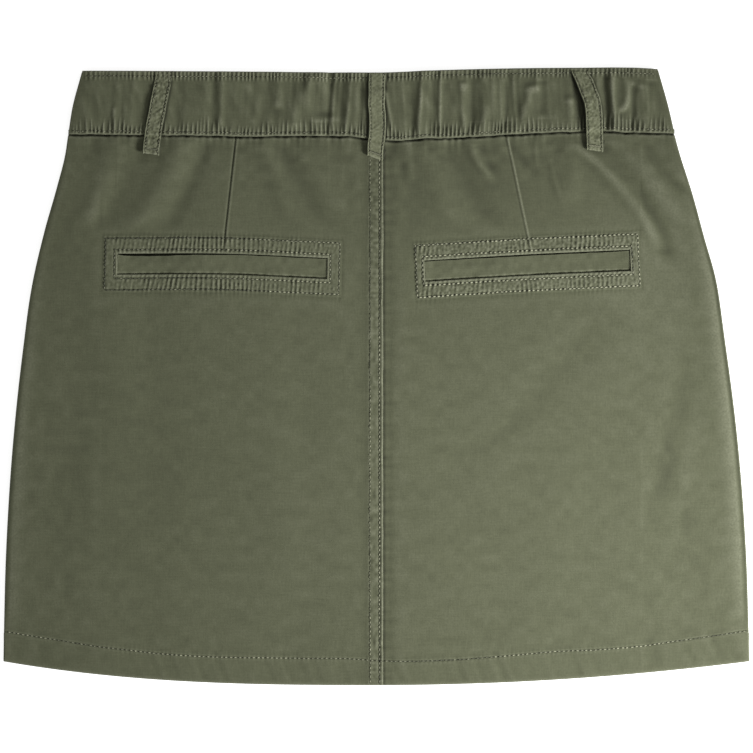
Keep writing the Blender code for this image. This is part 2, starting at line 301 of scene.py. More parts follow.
def side_roll(sign):
    """How the cloth rolls over a side edge and down to the side seam: shift, drop and share."""
    shift = [sign * SIDE_RADIUS * math.sin(a) for a in ROLL_ANGLES] + [sign * SIDE_RADIUS] * 3
    drop = [SIDE_RADIUS * (1 - math.cos(a)) for a in ROLL_ANGLES] + [SIDE_RADIUS] * 3
    share = [0.0] * len(ROLL_ANGLES) + list(WALL_SHARES)
    table = np.array([shift + [sign * (SIDE_RADIUS - 0.9)], drop + [SIDE_RADIUS], share + [1.0]])
    return table if sign > 0 else table[:, ::-1]


def hem_fold(points, edge_y, turned_z):
    """Rows of the turned-up hem, from its cut edge round the fold to the first row of the panel."""
    first = points[0]
    middle = first[:, 1]
    top, low = first[:, 2], np.minimum(turned_z, first[:, 2] - 0.1)
    if turned_z > top.mean():
        low = np.full_like(top, turned_z)
    rows = []
    for back in (HEM_DEPTH, HEM_DEPTH / 2, 2.0):
        rows.append(np.stack([first[:, 0], middle + back, low], axis=-1))
    for angle in TURN_ANGLES:
        y = middle - (middle - edge_y) * math.cos(angle)
        z = (top + low) / 2 + (top - low) / 2 * math.sin(angle)
        rows.append(np.stack([first[:, 0], y, z], axis=-1))
    return np.concatenate([np.array(rows), points])


def row_across(down, inset, columns):
    """A row from side seam to side seam, with what its rolled ends shift, drop and meet by."""
    left = -half_width(down, -1) + inset + SIDE_RADIUS
    right = half_width(down, 1) - inset - SIDE_RADIUS
    left_roll, right_roll = side_roll(-1), side_roll(1)
    ends = [np.full(roll.shape[1], at) for roll, at in ((left_roll, left), (right_roll, right))]
    x = np.concatenate([ends[0], np.linspace(left, right, columns), ends[1]])
    return x, *np.concatenate([left_roll, np.zeros((3, columns)), right_roll], axis=1)


def front_points():
    rows = []
    for share in even_steps((1.0, 0.96, 0.9, 0.0), (12, 8, 60)):
        down = BAND_DEPTH + (LENGTH - BAND_DEPTH) * share
        x, shift, drop, meet = row_across(down, FRONT_INSET, 180)
        turn = hem_y(x) + FRONT_INSET + FRONT_TURNED_TOP / 2
        y = seam_y(x) + FRONT_TUCK + (turn - seam_y(x) - FRONT_TUCK) * share
        up = y - hem_y(x)
        z = 0.2 * bump_at(up - HEM_DEPTH, 0.7)
        pucker = 0.1 * (1 + np.sin(x / 1.1 + 3 * uneven(x, 30, 5)))
        z = z + pucker * bump_at(up - HEM_DEPTH + 4, 5.0) * eased(up, 2.5, 6.0)
        z = z + drop * 0.36 + 0.8 * eased(y, seam_y(x) - 0.8, seam_y(x) + 0.8)
        z = z + (MEET_Z - 0.15 - z) * meet
        rows.append(np.stack([x + shift, y, z], axis=-1))
    points = np.array(rows)
    return hem_fold(points, hem_y(points[0][:, 0]) + FRONT_INSET, FRONT_TURNED_TOP)


front_grid = front_points()[::-1]
front = cloth_mesh("front", front_grid)
sew(front, twill("olive twill, front", 0.97), ["front_panel"])

# ----------------------------------------------------------
# FRONT WAISTBAND
# A plain double strip of the twill, folded along its top edge and sewn to the front panel. It
# lies under the gathered back band, face down.
# ----------------------------------------------------------

FRONT_BAND = 2.2


def front_band_points():
    """Rows run round the strip: up its outer face, over the fold and down its inner face."""
    radius = FRONT_BAND / 2
    profile = [(-1.0, 0.4), (0.2, 0.0)] + [(up, 0.0) for up in np.linspace(0.4, 40.6, 14)]
    for angle in np.radians(range(-75, 91, 15)):
        profile.append((41.0 + radius * math.cos(angle), radius + radius * math.sin(angle)))
    profile += [(up, FRONT_BAND) for up in np.linspace(40.0, 1.0, 14)]
    rows = []
    for up, z in profile:
        down = BAND_DEPTH * (1 - min(up, BAND_DEPTH) / BAND_DEPTH)
        x, shift, drop, meet = row_across(down, FRONT_INSET, 120)
        share = up / BAND_DEPTH
        y = seam_y(x) * (1 - share) + (top_y(x) - FRONT_INSET + 1.0) * share
        height = z + 0.25 * drop * (1 if z < radius else -1)
        height = height + (radius - height) * meet
        rows.append(np.stack([x + shift, y, height], axis=-1))
    return np.array(rows)


front_band = cloth_mesh("front_waistband", front_band_points()[:, ::-1])
sew(front_band, twill("olive twill, front band", 0.97), ["waistband_front"])

# ----------------------------------------------------------
# BACK PANELS
# Two pieces of the same twill, each with one dart and a welt pocket slit. The left panel's folded
# centre edge is felled over the right one with two rows of stitches. Both hems are turned up.
# ----------------------------------------------------------

BACK_Z = CLOTH / 2 + 3 * LAYER
BACK_TURNED_BOTTOM = CLOTH + LAYER + GAP
WAIST_DROP = 0.9
ROLL_LENGTH = 1.6
EDGE_DROP = 0.9
SEAM_X = 4.3
STRIP = 9.9
STRIP_STEP = 2.4
STRIP_ROWS = (-4.3, 1.8)
STITCH = 3.0
TUCK = 2.4
HEM_MARGIN = 2.5
SEAM_MARGIN = 7.0
FRAME_MARGIN = 3.0
LAP_RADIUS = 0.5
HEM_WIDTHS = (
    # x, width
    (-248, 20), (-212, 19.6), (-175, 18.3), (-120, 17.3), (-60, 17.7), (-14, 17.4),
    (18, 15.8), (45, 15.9), (75, 17.1), (98, 18.2), (185, 18.4), (212, 19.5), (248, 21),
)

POCKETS = {
    # x, y, tilt, width, height
    -1: (-101.8, 72.8, -1.2, 138.3, 13.6),
    1: (99.6, 73.2, 3.0, 135.6, 13.7),
}
POCKET_BOW = {-1: 2.4, 1: 0.8}
FRAME_INNER = 2.7
FRAME_OUTER = 10.2
FRAME_SIDE = {-1: 1.25, 1: 1.8}
RIB_STRENGTH = {-1: 0.24, 1: 0.19}
FRAME_GRAIN = {-1: 0.13, 1: 0.22}
FRAME_SPECKLE = {-1: 0.28, 1: 0.6}
FRAME_LIP = {-1: 0.14, 1: 0.22}
FRAME_GROOVE = {-1: 0.24, 1: 0.34}
SEAM_DITCH = 1.3
LIP_ROLL = 0.6

DARTS = {
    # top_x, top_y, foot_x, foot_y
    -1: (-92.3, 159.0, -101.0, 80.0),
    1: (85.5, 160.0, 102.0, 81.0),
}

DART_RIDGE = {-1: 0.22, 1: 0.36}
DART_DITCH = {-1: 0.45, 1: 0.16}

DRAG_LINES = (
    # top_x, top_down, mid_x, mid_down, foot_x, foot_down, height, width
    (-173.3, 46, -178.5, 67, -188, 98, 0.75, 8),
    (-156.1, 52, -168, 75, -181.2, 100, -0.50, 7),
    (-127, 46, -140.5, 73, -158, 101, 0.95, 8),
    (-112, 45, -121.5, 69, -138, 103, -0.75, 6.5),
    (-73.6, 48, -66.3, 71, -59.1, 91, 0.50, 6),
    (-70.3, 44, -54.5, 67, -41.9, 94, -0.60, 6),
    (-49.8, 52, -38, 71, -26, 90, 0.45, 8),
    (28, 50, 36, 70, 49.2, 96, 0.70, 9),
    (43, 48, 55, 67, 71, 96, -0.85, 8),
    (62, 47, 63, 53, 67, 61, 0.45, 3),
    (69.6, 49, 71.6, 57, 75.6, 66, -0.50, 3.5),
    (104.6, 47, 104.8, 52, 105.2, 57, 0.28, 1.8),
    (115, 60, 117, 70, 119.5, 79, 0.24, 2.2),
    (127, 47, 128, 65, 126, 85, 0.75, 8),
    (136.5, 53, 161.5, 77.5, 184, 111, 0.75, 4.4),
    (151, 50, 168, 74, 192, 122, -0.75, 8),
    (60, 46, 68, 58, 74, 68, 0.40, 4),
    (88, 46, 94, 56, 101, 64, -0.45, 4),
    (156.1, 46, 177.9, 70, 199, 96, 0.65, 7),
    (177.9, 48, 189, 65, 203.6, 80, -0.50, 5.5),
)
BODY_LINES = (
    # top_x, top_down, mid_x, mid_down, foot_x, foot_down, height, width
    (-178, 120, -178, 200, -180, 284, 0.50, 15),
    (-150, 130, -149, 200, -147, 284, -0.45, 14),
    (-72, 235, -68, 290, -66, 345, 0.50, 20),
    (-52, 160, -50, 195, -48, 235, -0.42, 12),
    (140, 175, 112, 210, 80, 245, -0.50, 13),
    (203, 205, 196, 245, 187, 285, -0.35, 9),
    (123, 267, 122, 305, 121, 350, 0.25, 16),
)
BODY_FADE = 35.0
DRAG_FADE = 11.0


def crease_height(x, down, table, fading=DRAG_FADE):
    """Soft ridges and troughs, each along a bent line with its own height and width."""
    height = np.zeros(np.broadcast(x, down).shape)
    for top_x, top_down, mid_x, mid_down, foot_x, foot_down, rise, width in table:
        bend = np.polyfit((top_down, mid_down, foot_down), (top_x, mid_x, foot_x), 2)
        slope = (foot_x - top_x) / (foot_down - top_down)
        line_x = np.polyval(bend, np.clip(down, top_down - 8, foot_down + 8))
        away = (x - line_x) / math.hypot(1, slope)
        fade = eased(down, top_down - fading, top_down + fading / 3)
        fade = fade * (1 - eased(down, foot_down - fading / 2, foot_down + fading))
        height = height + rise * bump_at(away, width) * fade
    return height


def folds(x, y):
    """All the folds of the panels: short ones under the band and long faint ones lower down."""
    down = WAIST_Y - y
    height = 1.35 * crease_height(x, down, DRAG_LINES) + crease_height(x, down, BODY_LINES, BODY_FADE)
    return height + 0.2 * uneven_cloth(x, 0.5 * y, 26, 71)


def pocket_bow(sign, along):
    """How far the slit's line arches above a straight one."""
    return POCKET_BOW[sign] * (bump_at(along, POCKETS[sign][3] / 2) - math.exp(-1))


def pocket_place(sign, x, y):
    """Along and across a pocket, and how far outside its slit a point lies."""
    middle_x, middle_y, tilt, width, height = POCKETS[sign]
    c, s = math.cos(math.radians(tilt)), math.sin(math.radians(tilt))
    along = (x - middle_x) * c + (y - middle_y) * s
    across = (y - middle_y) * c - (x - middle_x) * s - pocket_bow(sign, along)
    out_along = (np.abs(along) - width / 2) * FRAME_SIDE[sign]
    out_across = np.abs(across) - height / 2
    return along, across, np.maximum(out_along, out_across), out_across - out_along


def pocket_relief(sign, x, y):
    """The stitched frame round the slit: a padded lip, sunken stitch rows and a pucker at each stitch."""
    along, across, out, above = pocket_place(sign, x, y)
    height = 0.24 * (1 - eased(out, FRAME_OUTER - 1.2, FRAME_OUTER + 3.0))
    height = height + FRAME_LIP[sign] * bump_at(out - 1.0, 0.8)
    height = height - 0.12 * bump_at(out - FRAME_OUTER - 2.2, 1.0)
    height = height - 0.34 * bump_at(out - FRAME_INNER, 0.55)
    height = height - FRAME_GROOVE[sign] * bump_at(out - FRAME_OUTER, 0.6)
    grain = FRAME_GRAIN[sign] * uneven_cloth(along, across, 1.5, 37)
    height = height + grain * (1 - eased(out, FRAME_OUTER, FRAME_OUTER + 2))
    lean = -0.05 - 0.16 * uneven(along, 40, 31)
    drift = 1.1 * uneven(along, 17, 32 + sign)
    phase = 2 * np.pi * (along + lean * across) / STITCH + drift
    reach = eased(out, -0.2, 1.4) * (1 - 0.75 * eased(out, FRAME_OUTER, FRAME_OUTER + 1.5))
    reach = reach * (1 - eased(out, FRAME_OUTER + 1.5, FRAME_OUTER + 6))
    patchy = 0.7 + 0.5 * uneven(along, 8, 34 + sign) + 0.7 * uneven_cloth(along, across, 2.2, 36)
    ribs = RIB_STRENGTH[sign] * np.cos(phase) * reach * patchy * eased(above, -2.0, 1.0)
    rolled = np.clip(1 - np.maximum(out, 0) / LIP_ROLL, 0, 1)
    return height + ribs - 0.9 * (1 - np.sqrt(1 - rolled**2))


def dart_away(sign, x, y):
    """How far to the side of a dart's line a point lies, and far away below its foot."""
    top_x, top_line, foot_x, foot_line = DARTS[sign]
    slope = (foot_x - top_x) / (foot_line - top_line)
    away = (x - top_x - slope * (y - top_line)) / math.hypot(1, slope)
    return np.where(y < foot_line, 99.0, away)


def dart_relief(sign, x, y):
    """A sewn-in dart shows as one sharp line: a fold that stands up over a narrow ditch."""
    away = dart_away(sign, x, y)
    foot_line = DARTS[sign][3]
    along = eased(y, foot_line - 1.0, foot_line + 6.0)
    ridge = DART_RIDGE[sign] * bump_at(away - 0.6, 0.75)
    return (ridge - DART_DITCH[sign] * bump_at(away + 0.6, 0.55)) * along


def hem_width(x):
    """How far above the hem's fold its stitches run."""
    return curve_through(HEM_WIDTHS, 1, x)


def hem_relief(x, y):
    up = y - hem_y(x)
    past = up - hem_width(x)
    inside = 1 - eased(past, 0.3, 2.2)
    pull = uneven(x + 0.4 * up, 4.5, 41) * (0.6 + 0.4 * uneven(x, 33, 42))
    fine = np.cos(2 * np.pi * x / STITCH + 1.2 * uneven(x, 12, 43)) * bump_at(past, 2.2)
    window = eased(up, 0.0, 4.0) * (1 - eased(past, 1.0, 6.0))
    return 0.2 * inside - 0.26 * bump_at(past, 0.65) + 0.16 * pull * window + 0.05 * fine


def waist_relief(x, y):
    """Small puckers where the elastic gathers the top of the panels."""
    below = seam_y(x) - y
    strong = 0.35 + 0.65 * bump_at(np.abs(x) - 45, 60)
    fine = np.cos(2 * np.pi * x / 4.6 + 2.0 * uneven(x, 11, 51)) * (0.5 + 0.5 * uneven(x, 13, 52))
    broad = uneven(x, 5.5, 53)
    below = np.maximum(below, 0)
    puckers = 0.34 * fine * np.exp(-below / 4.0) + 0.55 * broad * np.exp(-below / 12.0)
    return strong * puckers


def strip_relief(x, y):
    """The felled seam: one layer higher, two sunken stitch rows and a puckered run between them."""
    step = 0.5 * eased(x, SEAM_X - STRIP - STRIP_STEP - 1.0, SEAM_X - STRIP + 2.0)
    inside = eased(x, SEAM_X - STRIP - 1, SEAM_X - STRIP + 1)
    sunk = sum(-deep * bump_at(x - row, 0.6) for row, deep in zip(STRIP_ROWS, (0.05, 0.26)))
    pull = np.sin(2 * np.pi * (y + 0.7 * x) / 5.6 + 2.2 * uneven(y, 15, 61))
    pull = pull * (0.6 + 0.4 * uneven(y, 19, 62))
    fine = np.cos(2 * np.pi * y / STITCH + uneven(y, 9, 63))
    ridge = 0.28 * bump_at(x - (SEAM_X - 0.7), 0.7)
    crinkled = 0.09 * pull + 0.07 * fine + 0.20 * uneven_cloth(1.2 * x, y, 2.2, 64)
    return step + sunk + ridge + inside * crinkled


def back_surface(sign, x, y):
    """Height of the outer face of a back panel."""
    down = WAIST_Y - y
    edge = np.maximum(half_width(down, sign) - np.abs(x), 0)
    roll = 1 - np.exp(-edge / ROLL_LENGTH)
    side_z = BACK_Z - EDGE_DROP * (1 - eased(down, LENGTH - 60, LENGTH - 22))
    body_z = BACK_Z - WAIST_DROP * (1 - eased(down, BAND_DEPTH, BAND_DEPTH + 30))
    below = np.maximum(seam_y(x) - y, 0)
    creases = folds(x, y) * (0.55 + 0.45 * eased(below, 0, 6)) + waist_relief(x, y)
    creases = creases + (0.06 + 0.38 * np.exp(-below / 14)) * uneven_cloth(x, y, 6, 72)
    near_seam = bump_at(x - SEAM_X - 1.5, 7.0) * eased(down, BAND_DEPTH, BAND_DEPTH + 12)
    if sign > 0:
        ripple = 0.05 * np.sin(2 * np.pi * y / 7.3 + 2 * uneven(y, 16, 73))
        creases = creases - 0.6 * near_seam + ripple * near_seam
    z = side_z + (body_z + creases - side_z) * roll + CLOTH / 2
    z = z + hem_relief(x, y) + dart_relief(sign, x, y) + pocket_relief(sign, x, y)
    z = z - SEAM_DITCH * (1 + 0.5 * uneven(x, 3.5, 54)) * bump_at(np.maximum(seam_y(x) - y, -0.2), 1.1)
    return z + strip_relief(x, y) if sign < 0 else z


def panels_surface(x, y):
    """Height of the outer face of both back panels, the left one on top at the seam."""
    left = back_surface(-1, np.minimum(x, SEAM_X), y)
    return np.where(x < SEAM_X, left, back_surface(1, x, y))


def back_points(sign):
    """Rows from the hem fold to the waist seam, whose middle ones follow the pocket's slit."""
    middle_x, middle_y, tilt, width, height = POCKETS[sign]
    slant = math.tan(math.radians(tilt))
    margin = FRAME_OUTER + FRAME_MARGIN
    counts = (13, 10, 78, 22, 5, 9, 5, 22, 48, 18)
    places = even_steps(range(len(counts) + 1), counts)
    fold = (BACK_Z + CLOTH / 2 - BACK_TURNED_BOTTOM) / 2

    def lines(x):
        slit = middle_y + (x - middle_x) * slant + pocket_bow(sign, x - middle_x)
        low, high = slit - height / 2, slit + height / 2
        seam, row = seam_y(x), hem_y(x) + hem_width(x)
        return np.array([
            hem_y(x) + fold, row - HEM_MARGIN, row + HEM_MARGIN,
            low - margin, low - LIP_ROLL, low, high, high + LIP_ROLL, high + margin,
            seam - SEAM_MARGIN, seam + TUCK,
        ])

    roll = side_roll(sign)
    outer_end, inner_end = middle_x + sign * width / 2, middle_x - sign * width / 2
    side_margin = margin / FRAME_SIDE[sign]
    across_counts = (22, 16, 5, 270, 5, 16, 9) + ((8, 15) if sign < 0 else (8,))
    rows = []
    for place in places:
        low = int(min(math.floor(place), len(counts) - 1))
        centre_lines = lines(np.array([sign * 110.0]))[:, 0]
        nominal = centre_lines[low] + (centre_lines[low + 1] - centre_lines[low]) * (place - low)
        edge = half_width(WAIST_Y - nominal, sign) - SIDE_RADIUS
        knots = [
            sign * edge, outer_end + sign * side_margin, outer_end + sign * LIP_ROLL, outer_end,
            inner_end, inner_end - sign * LIP_ROLL, inner_end - sign * side_margin,
        ]
        if sign < 0:
            knots += [SEAM_X - STRIP - STRIP_STEP, SEAM_X - STRIP + 0.4, SEAM_X - LAP_RADIUS]
        else:
            knots += [SEAM_X + 5.0, SEAM_X - 2.5]
        flat = even_steps(knots, across_counts)
        still = np.zeros((3, len(flat)))
        if sign < 0:
            lap = [(LAP_RADIUS * math.sin(a), LAP_RADIUS * (1 - math.cos(a)), 0.0) for a in ROLL_ANGLES]
            lap = np.array(lap + [(0.35, 1.0, 0.0)]).T
            x = np.concatenate([np.full(roll.shape[1], -edge), flat, np.full(lap.shape[1], SEAM_X - LAP_RADIUS)])
            shift, drop, meet = np.concatenate([roll, still, lap], axis=1)
        else:
            flat = flat[::-1]
            x = np.concatenate([flat, np.full(roll.shape[1], edge)])
            shift, drop, meet = np.concatenate([still, roll], axis=1)
        level = lines(x)
        y = level[low] + (level[low + 1] - level[low]) * (place - low)
        off_slit = y - middle_y - (x - middle_x) * slant
        x = x - off_slit * slant * bump_at(off_slit, 25.0) * (np.abs(x - middle_x) < width)
        z = back_surface(sign, x, y) - drop
        z = z + (MEET_Z - z) * meet
        waver = 0.22 * uneven(y, 8, 81) * (shift > 0) * (sign < 0)
        rows.append(np.stack([x + shift + waver, y, z], axis=-1))
    points = np.array(rows)
    points = hem_fold(points, hem_y(points[0][:, 0]), BACK_TURNED_BOTTOM)
    first_row = 3 + len(TURN_ANGLES) + sum(counts[:5])
    if sign < 0:
        first_column = roll.shape[1] + sum(across_counts[:3])
    else:
        first_column = sum(across_counts[4:])
    return points, (first_row, first_row + counts[5], first_column, first_column + across_counts[3])


# Broad patches of painted light and painted shade on the back panels.
PAINTED_LIGHT_AND_SHADE_PATCHES = (
    # x, down, width_x, width_down, how much
    (180, 135, 34, 62, 0.22),
    (75, 72, 50, 26, -0.22),
    (20, 90, 14, 50, -0.16),
    (-56, 72, 18, 30, -0.18),
    (-210, 115, 14, 30, -0.14),
    (-160, 255, 50, 85, -0.09),
)


WEAR_AND_SHADE_REACH = 6


def relief_wear_and_shade(points, strength, base=0.03):
    """How the cloth's colour follows its relief: what stands out is lighter, partly washed-out dye and partly
    painted highlight, and what is sunk is darkened as painted shade.
    """
    z = points[..., 2]
    around = z.copy()
    for _ in range(WEAR_AND_SHADE_REACH):
        beside = around[1:-1, :-2] + around[1:-1, 2:]
        around[1:-1, 1:-1] = (beside + around[:-2, 1:-1] + around[2:, 1:-1]) / 4
    return np.clip((z - around) * strength, -1, 1) + base


SIDES = ((-1, "left"), (1, "right"))
backs = {}
for sign, side, tone in ((-1, "left", 0.98), (1, "right", 1.0)):
    grid, slit = back_points(sign)
    # Colour from the relief: raised cloth lighter, partly washed-out dye and partly painted highlight; hollows
    # darkened as painted shade. Inside the pocket frame the painted shade is weaker, and the cloth lighter and
    # speckled.
    wear_and_painted_shading = relief_wear_and_shade(grid, 3.0)
    x, y = grid[..., 0], grid[..., 1]
    out = pocket_place(sign, x, y)[2]
    framed = 1 - eased(out, FRAME_OUTER - 1, FRAME_OUTER + 1.5)
    wear_and_painted_shading = wear_and_painted_shading * np.where(wear_and_painted_shading < 0, 1 - 0.4 * framed, 1.0) + (0.10 if sign < 0 else 0.16) * framed
    wear_and_painted_shading = wear_and_painted_shading + FRAME_SPECKLE[sign] * uneven_cloth(x, y, 1.0, 84) * framed
    # Painted shade along both stitch rows round the pocket.
    stitch_row_shade = np.maximum(bump_at(out - FRAME_INNER, 0.8), bump_at(out - FRAME_OUTER, 0.8))
    wear_and_painted_shading = wear_and_painted_shading - (0.28 + 0.08 * sign) * stitch_row_shade
    # Painted highlight along the slit's lip, stronger at two places on the left pocket, and at the slit's ends.
    at_corners = np.maximum(bump_at(x + 165, 24), bump_at(x + 38, 16))
    lip = 0.15 + 0.7 * at_corners if sign < 0 else 0.8
    slit_end_highlight = 1 - eased(pocket_place(sign, x, y)[3], -1.0, 0.5)
    wear_and_painted_shading = wear_and_painted_shading + lip * bump_at(out - 0.7, 0.6) + (0.5 + 0.4 * sign) * slit_end_highlight * bump_at(out - 1.4, 1.0)
    # Painted shade in the groove under the waistband's lip.
    wear_and_painted_shading = wear_and_painted_shading - 0.9 * bump_at(np.maximum(seam_y(x) - y, -0.2), 0.9)
    # Broad patches of painted light and painted shade.
    for at_x, at_down, width_x, width_down, much in PAINTED_LIGHT_AND_SHADE_PATCHES:
        wear_and_painted_shading = wear_and_painted_shading + much * bump_at(x - at_x, width_x) * bump_at(WAIST_Y - y - at_down, width_down)
    if sign < 0:
        # The strip along the felled seam is lighter, and darker towards the waist; a painted highlight runs
        # along its folded edge.
        strip = 0.10 + 0.08 * eased(y, -60, 60) - 0.22 * eased(y, 75, 125)
        strip = strip * eased(x, SEAM_X - STRIP - 2, SEAM_X - STRIP + 1)
        wear_and_painted_shading = wear_and_painted_shading + 0.7 * bump_at(x - SEAM_X + 0.5, 0.6) + strip
    else:
        # Painted shade in the ditch right of the felled edge, and a painted highlight along the dart.
        wear_and_painted_shading = wear_and_painted_shading - 0.8 * bump_at(x - SEAM_X - 0.7, 0.9) + 0.9 * bump_at(dart_away(sign, x, y) - 0.5, 0.6)
    backs[sign] = cloth_mesh("back_" + side + "_panel", grid, wear_and_painted_shading, slit)
    sew(backs[sign], twill("olive twill, back " + side, tone), ["back_" + side])

# ----------------------------------------------------------
# POCKET WELTS
# A folded strip of twill fills each slit. Its lower edge and its ends are sewn in under the
# panel; its folded top edge is free and stands a little away from the slit, where a hand goes in.
# ----------------------------------------------------------

WELT_DEPTH = 0.55
WELT_HIDDEN = 2.6
WELT_SUNK = 1.5
WELT_FOLD = 0.45
MOUTH = {
    # along, gap
    -1: ((-70.0, 0.3), (-66.0, 0.9), (-45.0, 1.5), (-25.0, 1.0), (10.0, 0.5), (50.0, 0.5), (68.0, 0.4)),
    1: ((-70.0, 0.35), (-40.0, 0.5), (0.0, 0.7), (45.0, 0.6), (64.0, 0.5), (70.0, 0.3)),
}


def welt_points(sign):
    middle_x, middle_y, tilt, width, height = POCKETS[sign]
    c, s = math.cos(math.radians(tilt)), math.sin(math.radians(tilt))
    half = width / 2
    along = even_steps((-half - WELT_HIDDEN, -half + 3, half - 3, half + WELT_HIDDEN), (16, 150, 16))
    gap = curve_through(MOUTH[sign], 1, along) + 0.12 * uneven(along, 6, 90 + sign)
    top = height / 2 - gap - WELT_FOLD
    low = even_steps((-height / 2 - WELT_HIDDEN, -height / 2 + 2.0, 1.0), (14, 26))
    profile = [(np.full_like(along, across), 0.0) for across in low]
    profile += [(1.0 + (top - 1.0) * share, 0.0) for share in np.linspace(0, 1, 19)[1:]]
    for angle in np.radians((25, 50, 75, 100, 130, 160, 180)):
        profile.append((top + WELT_FOLD * math.sin(angle), 2 * WELT_FOLD * (1 - math.cos(angle))))
    rows = []
    for v, drop in profile:
        x = middle_x + along * c - v * s
        y = middle_y + along * s + (v + pocket_bow(sign, along)) * c
        inside = np.minimum(v + height / 2, half - np.abs(along) + 1.4)
        sunk = 1 - eased(inside, -0.6, 1.6)
        crown = 0.25 * eased(v, -height / 2, height / 2 - 2)
        dents = 0.4 * uneven_cloth(along, v * 2.5, 12, 92) + 0.16 * uneven_cloth(along, v, 4, 93)
        strain = 0.14 * np.cos(2 * np.pi * (along + 0.4 * v) / 5.5 + 2 * uneven(along, 9, 94))
        strain = strain * (1 - eased(inside, 0.5, 3.5))
        held = 1 - 0.65 * (1 - eased(half - np.abs(along), 0.0, 7.0))
        ground = BACK_Z + CLOTH / 2 + folds(x, y)
        z = ground - WELT_DEPTH * held + crown + dents + strain - WELT_SUNK * sunk - drop
        rows.append(np.stack([x, y, z], axis=-1))
    return np.array(rows)


for sign, side in SIDES:
    grid = welt_points(sign)
    # Welt colour from its relief: raised cloth lighter, partly washed-out dye and partly painted highlight;
    # hollows darkened as painted shade.
    welt = cloth_mesh("welt_" + side + "_strip", grid, relief_wear_and_shade(grid, 2.0))
    sew(welt, twill("olive twill, welt " + side, 1.0 if sign < 0 else 1.03), ["welt_" + side])

# ----------------------------------------------------------
# STITCHING ON THE BACK PANELS
# Spun polyester thread a shade lighter than the cloth, about eight stitches an inch: two rows
# round each pocket, two down the felled centre seam and one that holds the hem.
# ----------------------------------------------------------

THREAD_RADIUS = 0.4
STITCH_LENGTH = 2.85
THREAD_RINGS = np.array((0.0, 0.12, 0.24, 0.5, 0.76, 0.88, 1.0))
# How far each ring of a stitch stays out of painted shadow; both ends are painted in shadow.
THREAD_UNSHADOWED = np.array((0.0, 0.0, 0.4, 1.0, 0.4, 0.0, 0.0))
THREAD_SIDES = 6
THREAD = (0.35, 0.355, 0.245, 1.0)
# Near black painted shadow where a thread goes down into the cloth.
HOLE_SHADOW = (0.012, 0.014, 0.008, 1.0)


def stitches(line, seed, pitch=STITCH, length=STITCH_LENGTH, radius=THREAD_RADIUS, skew=0.0, unshadowed=0.6):
    """Threads that come up out of the cloth and go back down, one in every pitch of a line on the cloth."""
    rng = np.random.default_rng(seed)
    run = np.concatenate([[0.0], np.cumsum(np.hypot(*np.diff(line[:, :2], axis=0).T))])
    count = max(int(round(run[-1] / pitch)), 1)
    starts = (np.arange(count) + 0.14) * run[-1] / count + rng.normal(0, 0.03 * pitch, count)
    lengths = length * rng.uniform(0.85, 1.1, count)
    at = np.clip(starts[:, None] + lengths[:, None] * THREAD_RINGS, 0, run[-1])
    x, y, z = (np.interp(at, run, line[:, k]) for k in range(3))
    heading = np.stack([x[:, -1] - x[:, 0], y[:, -1] - y[:, 0]], axis=-1)
    heading = heading / np.maximum(np.hypot(heading[:, 0], heading[:, 1]), 1e-6)[:, None]
    aside = np.stack([-heading[:, 1], heading[:, 0]], axis=-1)[:, None, :]
    lean = (skew + rng.normal(0, 0.10, count))[:, None] * (THREAD_RINGS - 0.5) * 2
    lean = lean + rng.normal(0, 0.06, count)[:, None]
    arch = np.sin(np.pi * THREAD_RINGS)
    fat = radius * rng.uniform(0.88, 1.12, count)[:, None] * np.maximum(arch, 0.15) ** 0.3
    top = z + 0.06 + radius * (0.7 * arch**0.7 - 0.3)
    turn = np.arange(THREAD_SIDES) * 2 * np.pi / THREAD_SIDES
    sideways = (lean[..., None] + fat[..., None] * np.cos(turn))[..., None] * aside[:, :, None, :]
    # Each stitch is painted more or less into shadow, in patches.
    unshadowed = np.interp(starts, run, np.broadcast_to(unshadowed, run.shape))
    patch = unshadowed + 0.35 * uneven(starts, 14 * pitch, seed + 7) + rng.normal(0, 0.16, count)
    points = np.empty((count, len(THREAD_RINGS), THREAD_SIDES, 4))
    points[..., 0] = x[..., None] + sideways[..., 0]
    points[..., 1] = y[..., None] + sideways[..., 1]
    points[..., 2] = top[..., None] + 0.85 * fat[..., None] * np.sin(turn)
    points[..., 3] = (np.clip(patch, 0.15, 1.0)[:, None] * THREAD_UNSHADOWED)[..., None]
    return points


